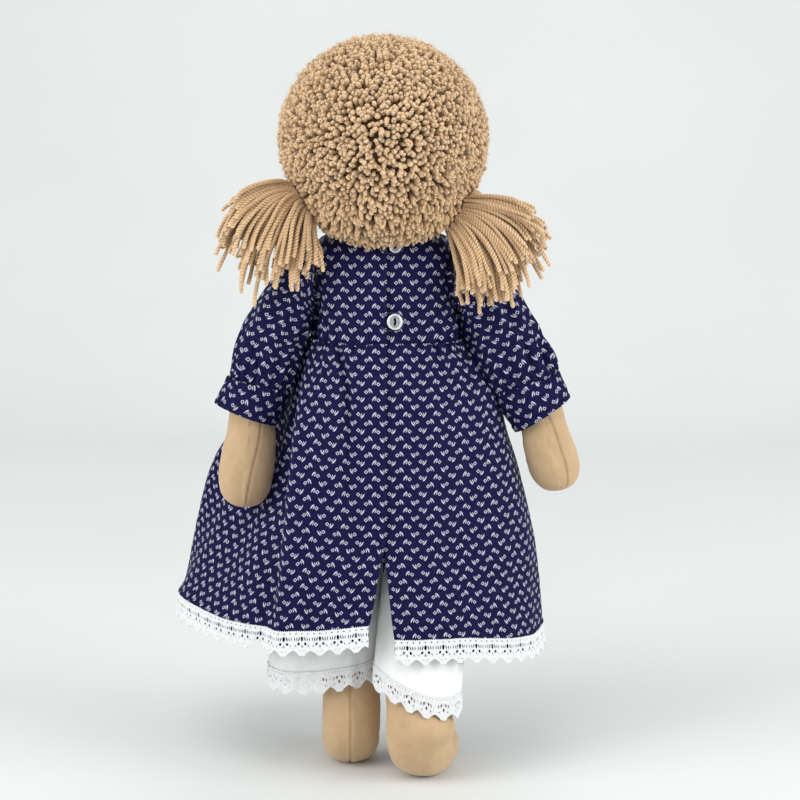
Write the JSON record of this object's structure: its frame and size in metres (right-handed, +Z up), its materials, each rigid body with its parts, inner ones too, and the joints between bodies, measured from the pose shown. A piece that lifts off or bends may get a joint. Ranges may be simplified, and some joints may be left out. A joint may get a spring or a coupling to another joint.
{
  "type": "waldorf doll",
  "caption": "Soft cloth doll in a back-opening sprig-print dress and lace-trimmed bloomers, with yarn pile hair, yarn pigtails and hinged arms, legs and head.",
  "frame": {"origin": "middle of the doll's width and depth, on the floor its soles stand on", "axes": "+Z up, face towards -Y, the doll's left side towards +X"},
  "size_m": [0.2489, 0.1468, 0.4463],
  "materials": {
    "jersey": "matte",
    "wool_filling": "matte",
    "navy_print_cotton": "matte",
    "white_lace": "matte",
    "white_cotton": "matte",
    "camel_yarn": "matte",
    "cotton_thread": "matte",
    "navy_thread": "matte",
    "pearl_button": "gloss",
    "eye_thread": "satin",
    "mouth_thread": "satin",
    "elastic": "matte"
  },
  "bodies": {
    "torso": {"torso_skin": "jersey", "torso_stuffing": "wool_filling", "shoulder_thread_left": "cotton_thread", "shoulder_thread_right": "cotton_thread", "hip_thread_left": "cotton_thread", "hip_thread_right": "cotton_thread", "bodice_front": "navy_print_cotton", "bodice_back_left": "navy_print_cotton", "bodice_back_right": "navy_print_cotton", "neck_lace": "white_lace", "back_button": "pearl_button", "neck_button": "pearl_button", "button_loop_lower": "navy_thread", "button_loop_upper": "navy_thread", "skirt_left": "navy_print_cotton", "skirt_right": "navy_print_cotton", "hem_lace_left": "white_lace", "hem_lace_right": "white_lace", "waist_elastic": "elastic"},
    "neck": {"neck_core": "jersey", "neck_thread": "cotton_thread"},
    "head": {"head_skin": "jersey", "head_stuffing": "wool_filling", "eye_left": "eye_thread", "eye_right": "eye_thread", "mouth": "mouth_thread", "hair_pile": "camel_yarn", "hair_tie_left": "camel_yarn", "hair_tie_right": "camel_yarn"},
    "pigtail_left_body": {"pigtail_left": "camel_yarn"},
    "pigtail_right_body": {"pigtail_right": "camel_yarn"},
    "arm_left": {"arm_skin_left": "jersey", "arm_stuffing_left": "wool_filling", "sleeve_left": "navy_print_cotton", "cuff_left": "navy_print_cotton"},
    "arm_right": {"arm_skin_right": "jersey", "arm_stuffing_right": "wool_filling", "sleeve_right": "navy_print_cotton", "cuff_right": "navy_print_cotton"},
    "leg_left": {"leg_skin_left": "jersey", "leg_stuffing_left": "wool_filling", "bloomers_left": "white_cotton", "bloomers_lace_left": "white_lace"},
    "leg_right": {"leg_skin_right": "jersey", "leg_stuffing_right": "wool_filling", "bloomers_right": "white_cotton", "bloomers_lace_right": "white_lace"}
  },
  "joints": [
    {"name": "neck_turn", "type": "hinge", "parent": "torso", "child": "neck", "pos_m": [-0.0059, 0.0107, 0.32], "axis": [0, 0, 1], "range_deg": [-10, 10], "deforming": ["pigtail_left", "pigtail_right"]},
    {"name": "head_nod", "type": "hinge", "parent": "neck", "child": "head", "pos_m": [-0.0059, 0.0107, 0.327], "axis": [1, 0, 0], "range_deg": [-6, 12]},
    {"name": "pigtail_left_lift", "type": "hinge", "parent": "head", "child": "pigtail_left_body", "pos_m": [0.0466, 0.0262, 0.3495], "axis": [0, -1, 0], "range_deg": [0, 30]},
    {"name": "pigtail_right_lift", "type": "hinge", "parent": "head", "child": "pigtail_right_body", "pos_m": [-0.0584, 0.0262, 0.3495], "axis": [0, 1, 0], "range_deg": [0, 60]},
    {"name": "shoulder_left", "type": "hinge", "parent": "torso", "child": "arm_left", "pos_m": [0.0391, 0.0107, 0.303], "axis": [0, -1, 0], "range_deg": [0, 80], "deforming": ["sleeve_left"]},
    {"name": "shoulder_right", "type": "hinge", "parent": "torso", "child": "arm_right", "pos_m": [-0.0509, 0.0107, 0.303], "axis": [0, 1, 0], "range_deg": [0, 80], "deforming": ["sleeve_right"]},
    {"name": "hip_left", "type": "hinge", "parent": "torso", "child": "leg_left", "pos_m": [0.0156, 0.0107, 0.169], "axis": [-1, 0, 0], "range_deg": [-5, 81], "deforming": ["skirt_left", "hem_lace_left", "bloomers_left", "bloomers_lace_left"]},
    {"name": "hip_right", "type": "hinge", "parent": "torso", "child": "leg_right", "pos_m": [-0.0274, 0.0107, 0.169], "axis": [-1, 0, 0], "range_deg": [-5, 100], "deforming": ["skirt_right", "hem_lace_right", "bloomers_right", "bloomers_lace_right"]}
  ]
}
